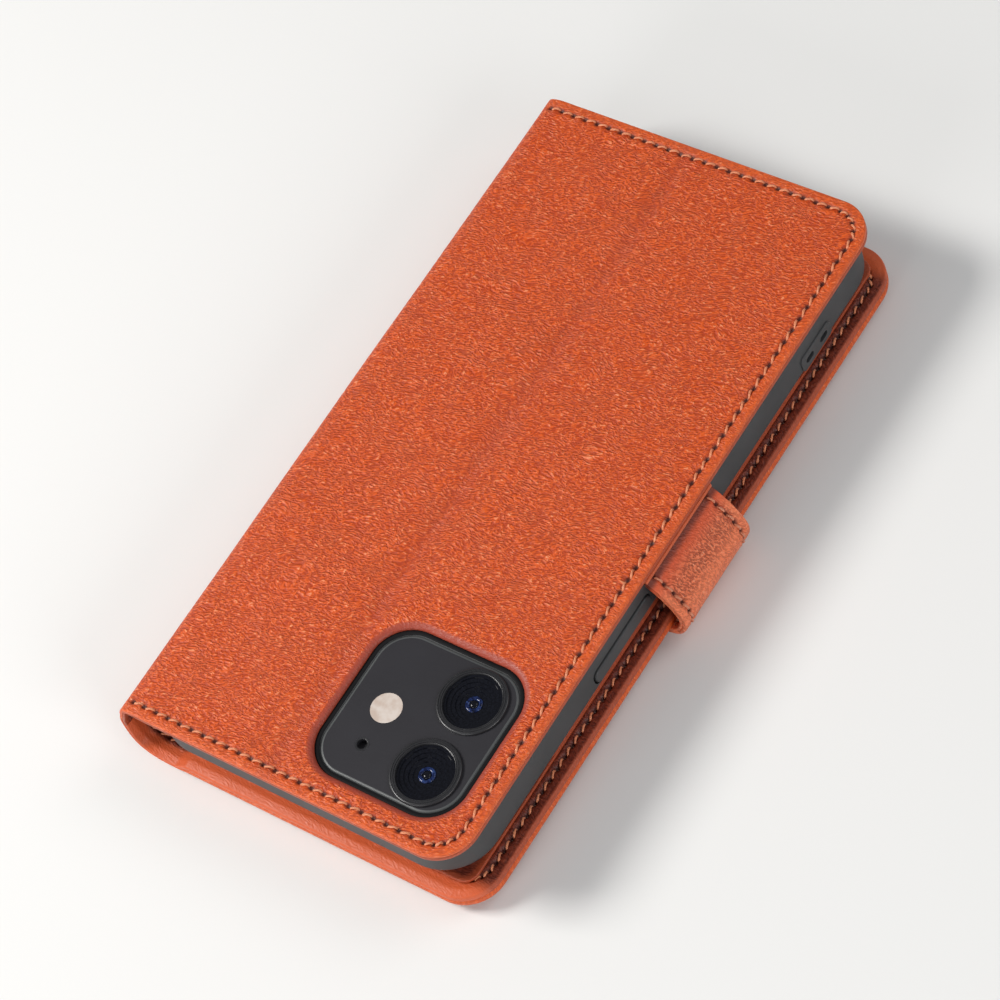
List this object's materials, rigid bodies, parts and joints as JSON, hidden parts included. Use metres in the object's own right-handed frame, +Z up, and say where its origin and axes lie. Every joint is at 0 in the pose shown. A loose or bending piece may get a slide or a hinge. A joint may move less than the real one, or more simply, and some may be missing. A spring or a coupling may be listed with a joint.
{
  "type": "phone wallet case",
  "caption": "Book-style leather phone wallet case, closed around a handset, with a flexible shell, card pockets, camera window and wrap-over magnetic strap.",
  "frame": {"origin": "middle of the bounding box at its base: the outer face of the strap tab, which the closed case lies on", "axes": "+X from the spine to the free edge with the strap, +Y along the length from the camera end to the port end, +Z up from the front cover to the back cover"},
  "size_m": [0.0852, 0.153, 0.0205],
  "materials": {
    "leather_outer": "orange-tan grained leather, satin, lighter turned edges",
    "leather_lining": "smooth red-brown lining leather",
    "board": "grey-brown stiffener board",
    "thread": "waxed cream thread",
    "steel": "thin steel keeper",
    "magnet": "nickel-plated disc magnets",
    "shell": "matte dark grey flexible shell",
    "handset_body": "dark anodised handset body",
    "handset_glass": "dark screen glass",
    "camera_plate": "charcoal camera plate",
    "lens_ring": "dark lens rings",
    "lens_glass": "coated lens glass",
    "flash": "cream flash diffuser"
  },
  "bodies": {
    "front_cover": {"front_outer_leather": "leather_outer", "front_board": "board", "front_lining": "leather_lining", "keeper_plate": "steel", "front_stitching": "thread", "cash_pocket": "leather_lining", "card_slot_1": "leather_lining", "card_slot_2": "leather_lining", "card_slot_3": "leather_lining"},
    "spine": {"spine_outer_leather": "leather_outer", "spine_lining": "leather_lining"},
    "back_cover": {"back_outer_leather": "leather_outer", "back_board_flap": "board", "back_board_fixed": "board", "back_lining": "leather_lining", "back_stitching": "thread", "tpu_shell": "shell", "strap_anchor": "leather_outer", "phone_body": "handset_body", "phone_screen": "handset_glass", "camera_plate": "camera_plate", "flash_window": "flash", "main_lens_ring": "lens_ring", "main_lens_glass": "lens_glass", "wide_lens_ring": "lens_ring", "wide_lens_glass": "lens_glass"},
    "strap_side": {"strap_side_leather": "leather_outer", "strap_side_lining": "leather_lining"},
    "strap_tab": {"strap_tab_leather": "leather_outer", "strap_tab_lining": "leather_lining", "strap_magnets": "magnet"},
    "side_key": {"side_button": "shell"},
    "volume_up_key": {"volume_up_button": "shell"},
    "volume_down_key": {"volume_down_button": "shell"}
  },
  "joints": [
    {"name": "cover_fold", "type": "hinge", "parent": "front_cover", "child": "spine", "pos_m": [-0.04065, 0, 0.0043], "axis": [0, -1, 0], "range_deg": [0, 90]},
    {"name": "back_fold", "type": "hinge", "parent": "spine", "child": "back_cover", "pos_m": [-0.04065, 0, 0.0185], "axis": [0, -1, 0], "range_deg": [0, 90]},
    {"name": "strap_bend", "type": "hinge", "parent": "back_cover", "child": "strap_side", "pos_m": [0.03745, 0.0005, 0.0185], "axis": [0, -1, 0], "range_deg": [0, 83]},
    {"name": "strap_tab_bend", "type": "hinge", "parent": "strap_side", "child": "strap_tab", "pos_m": [0.03715, 0.0005, 0], "axis": [0, -1, 0], "range_deg": [0, 75]},
    {"name": "side_button_press", "type": "slide", "parent": "back_cover", "child": "side_key", "axis": [-1, 0, 0], "range_m": [0, 0.0004], "stiffness_N_per_m": 800},
    {"name": "volume_up_press", "type": "slide", "parent": "back_cover", "child": "volume_up_key", "axis": [1, 0, 0], "range_m": [0, 0.0004], "stiffness_N_per_m": 800},
    {"name": "volume_down_press", "type": "slide", "parent": "back_cover", "child": "volume_down_key", "axis": [1, 0, 0], "range_m": [0, 0.0004], "stiffness_N_per_m": 800}
  ],
  "couplings": [
    {"joint": "strap_tab_bend", "follows": "strap_bend", "ratio": 0.9}
  ]
}
